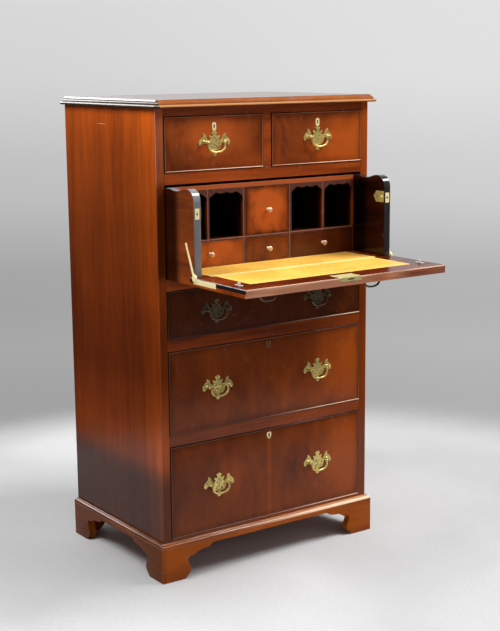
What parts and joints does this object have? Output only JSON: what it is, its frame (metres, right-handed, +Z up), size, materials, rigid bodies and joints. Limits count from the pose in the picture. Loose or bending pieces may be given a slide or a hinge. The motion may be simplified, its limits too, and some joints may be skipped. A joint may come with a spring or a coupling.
{
  "type": "secretaire chest",
  "caption": "Tall mahogany chest on bracket feet with short and long drawers and a pull-out writing drawer whose hinged fall opens on a nest of pigeonholes and small drawers.",
  "frame": {"origin": "on the floor under the middle of the overall bounding box, with the writing drawer drawn out and its fall open", "axes": "+Z up, the front faces -Y, +X to the right of someone who faces the front"},
  "size_m": [0.667, 0.77, 1.1752],
  "materials": {
    "mahogany": "straight-grained red-brown mahogany under an aged, glossy wax polish",
    "ebonised_mahogany": "black-stained mahogany, polished",
    "flame_mahogany": "figured mahogany veneer with darker crossbanded edges, aged glossy polish",
    "drawer_lining": "plain unpolished lining wood",
    "aged_brass": "cast brass, yellow-green with age, brighter where hands rub it"
  },
  "bodies": {
    "carcase": {"case_side_left": "mahogany", "case_side_right": "mahogany", "back_panel": "mahogany", "bottom_board": "mahogany", "dustboard_middle": "mahogany", "dustboard_upper": "mahogany", "dustboard_desk": "mahogany", "dustboard_short": "mahogany", "top_rail": "mahogany", "top_board": "mahogany", "bracket_plinth": "mahogany"},
    "bottom_drawer": {"bottom_drawer_front": "flame_mahogany", "bottom_drawer_box": "drawer_lining", "plate_bottom_left": "aged_brass", "plate_bottom_right": "aged_brass"},
    "middle_drawer": {"middle_drawer_front": "flame_mahogany", "middle_drawer_box": "drawer_lining", "plate_middle_left": "aged_brass", "plate_middle_right": "aged_brass"},
    "upper_drawer": {"upper_drawer_front": "flame_mahogany", "upper_drawer_box": "drawer_lining", "plate_upper_left": "aged_brass", "plate_upper_right": "aged_brass"},
    "short_drawer_left": {"short_drawer_left_front": "flame_mahogany", "short_drawer_left_box": "drawer_lining", "plate_short_left": "aged_brass"},
    "short_drawer_right": {"short_drawer_right_front": "flame_mahogany", "short_drawer_right_box": "drawer_lining", "plate_short_right": "aged_brass"},
    "writing_drawer": {"desk_side_left": "ebonised_mahogany", "desk_side_right": "ebonised_mahogany", "desk_floor": "mahogany", "pigeonhole_nest": "mahogany", "hinge_arm_left": "aged_brass", "hinge_arm_right": "aged_brass"},
    "fall": {"desk_fall": "flame_mahogany", "hinge_leaf_left": "aged_brass", "hinge_leaf_right": "aged_brass", "plate_fall_left": "aged_brass", "plate_fall_right": "aged_brass"},
    "nest_drawer_centre": {"nest_drawer_centre": "flame_mahogany", "knob_nest_drawer_centre": "aged_brass"},
    "nest_drawer_tall": {"nest_drawer_tall": "flame_mahogany", "knob_nest_drawer_tall": "aged_brass"},
    "nest_drawer_left": {"nest_drawer_left": "flame_mahogany", "knob_nest_drawer_left": "aged_brass"},
    "nest_drawer_right": {"nest_drawer_right": "flame_mahogany", "knob_nest_drawer_right": "aged_brass"},
    "bail_bottom_left": {"bail_bottom_left": "aged_brass"},
    "bail_bottom_right": {"bail_bottom_right": "aged_brass"},
    "bail_middle_left": {"bail_middle_left": "aged_brass"},
    "bail_middle_right": {"bail_middle_right": "aged_brass"},
    "bail_upper_left": {"bail_upper_left": "aged_brass"},
    "bail_upper_right": {"bail_upper_right": "aged_brass"},
    "bail_short_left": {"bail_short_left": "aged_brass"},
    "bail_short_right": {"bail_short_right": "aged_brass"},
    "bail_fall_left": {"bail_fall_left": "aged_brass"},
    "bail_fall_right": {"bail_fall_right": "aged_brass"},
    "catch_button_left": {"catch_button_left": "aged_brass"},
    "catch_button_right": {"catch_button_right": "aged_brass"}
  },
  "joints": [
    {"name": "bottom_drawer_slide", "type": "slide", "parent": "carcase", "child": "bottom_drawer", "axis": [0, -1, 0], "range_m": [0, 0.32]},
    {"name": "middle_drawer_slide", "type": "slide", "parent": "carcase", "child": "middle_drawer", "axis": [0, -1, 0], "range_m": [0, 0.32]},
    {"name": "upper_drawer_slide", "type": "slide", "parent": "carcase", "child": "upper_drawer", "axis": [0, -1, 0], "range_m": [0, 0.19]},
    {"name": "short_drawer_left_slide", "type": "slide", "parent": "carcase", "child": "short_drawer_left", "axis": [0, -1, 0], "range_m": [0, 0.32]},
    {"name": "short_drawer_right_slide", "type": "slide", "parent": "carcase", "child": "short_drawer_right", "axis": [0, -1, 0], "range_m": [0, 0.32]},
    {"name": "writing_drawer_slide", "type": "slide", "parent": "carcase", "child": "writing_drawer", "axis": [0, -1, 0], "range_m": [-0.1376, 0]},
    {"name": "fall_hinge", "type": "hinge", "parent": "writing_drawer", "child": "fall", "pos_m": [0, -0.18155, 0.7725], "axis": [-1, 0, 0], "range_deg": [0, 90]},
    {"name": "nest_drawer_centre_slide", "type": "slide", "parent": "writing_drawer", "child": "nest_drawer_centre", "axis": [0, 1, 0], "range_m": [-0.13, 0]},
    {"name": "nest_drawer_tall_slide", "type": "slide", "parent": "writing_drawer", "child": "nest_drawer_tall", "axis": [0, 1, 0], "range_m": [-0.13, 0]},
    {"name": "nest_drawer_left_slide", "type": "slide", "parent": "writing_drawer", "child": "nest_drawer_left", "axis": [0, 1, 0], "range_m": [-0.13, 0]},
    {"name": "nest_drawer_right_slide", "type": "slide", "parent": "writing_drawer", "child": "nest_drawer_right", "axis": [0, 1, 0], "range_m": [-0.13, 0]},
    {"name": "bail_bottom_left_swing", "type": "hinge", "parent": "bottom_drawer", "child": "bail_bottom_left", "pos_m": [-0.156, -0.07225, 0.22575], "axis": [-1, 0, 0], "range_deg": [-16.5, 100]},
    {"name": "bail_bottom_right_swing", "type": "hinge", "parent": "bottom_drawer", "child": "bail_bottom_right", "pos_m": [0.156, -0.07225, 0.22575], "axis": [-1, 0, 0], "range_deg": [-16.5, 100]},
    {"name": "bail_middle_left_swing", "type": "hinge", "parent": "middle_drawer", "child": "bail_middle_left", "pos_m": [-0.156, -0.07225, 0.47625], "axis": [-1, 0, 0], "range_deg": [-16.5, 100]},
    {"name": "bail_middle_right_swing", "type": "hinge", "parent": "middle_drawer", "child": "bail_middle_right", "pos_m": [0.156, -0.07225, 0.47625], "axis": [-1, 0, 0], "range_deg": [-16.5, 100]},
    {"name": "bail_upper_left_swing", "type": "hinge", "parent": "upper_drawer", "child": "bail_upper_left", "pos_m": [-0.156, -0.07225, 0.6685], "axis": [-1, 0, 0], "range_deg": [-16.5, 100]},
    {"name": "bail_upper_right_swing", "type": "hinge", "parent": "upper_drawer", "child": "bail_upper_right", "pos_m": [0.156, -0.07225, 0.6685], "axis": [-1, 0, 0], "range_deg": [-16.5, 100]},
    {"name": "bail_short_left_swing", "type": "hinge", "parent": "short_drawer_left", "child": "bail_short_left", "pos_m": [-0.156, -0.07225, 1.074], "axis": [-1, 0, 0], "range_deg": [-16.5, 100]},
    {"name": "bail_short_right_swing", "type": "hinge", "parent": "short_drawer_right", "child": "bail_short_right", "pos_m": [0.156, -0.07225, 1.074], "axis": [-1, 0, 0], "range_deg": [-16.5, 100]},
    {"name": "bail_fall_left_swing", "type": "hinge", "parent": "fall", "child": "bail_fall_left", "pos_m": [-0.156, -0.2768, 0.7442], "axis": [-1, 0, 0], "range_deg": [-106.5, 10]},
    {"name": "bail_fall_right_swing", "type": "hinge", "parent": "fall", "child": "bail_fall_right", "pos_m": [0.156, -0.2768, 0.7442], "axis": [-1, 0, 0], "range_deg": [-106.5, 10]},
    {"name": "catch_button_left_press", "type": "slide", "parent": "writing_drawer", "child": "catch_button_left", "axis": [-1, 0, 0], "range_m": [0, 0.0018], "stiffness_N_per_m": 300},
    {"name": "catch_button_right_press", "type": "slide", "parent": "writing_drawer", "child": "catch_button_right", "axis": [1, 0, 0], "range_m": [0, 0.0018], "stiffness_N_per_m": 300}
  ]
}
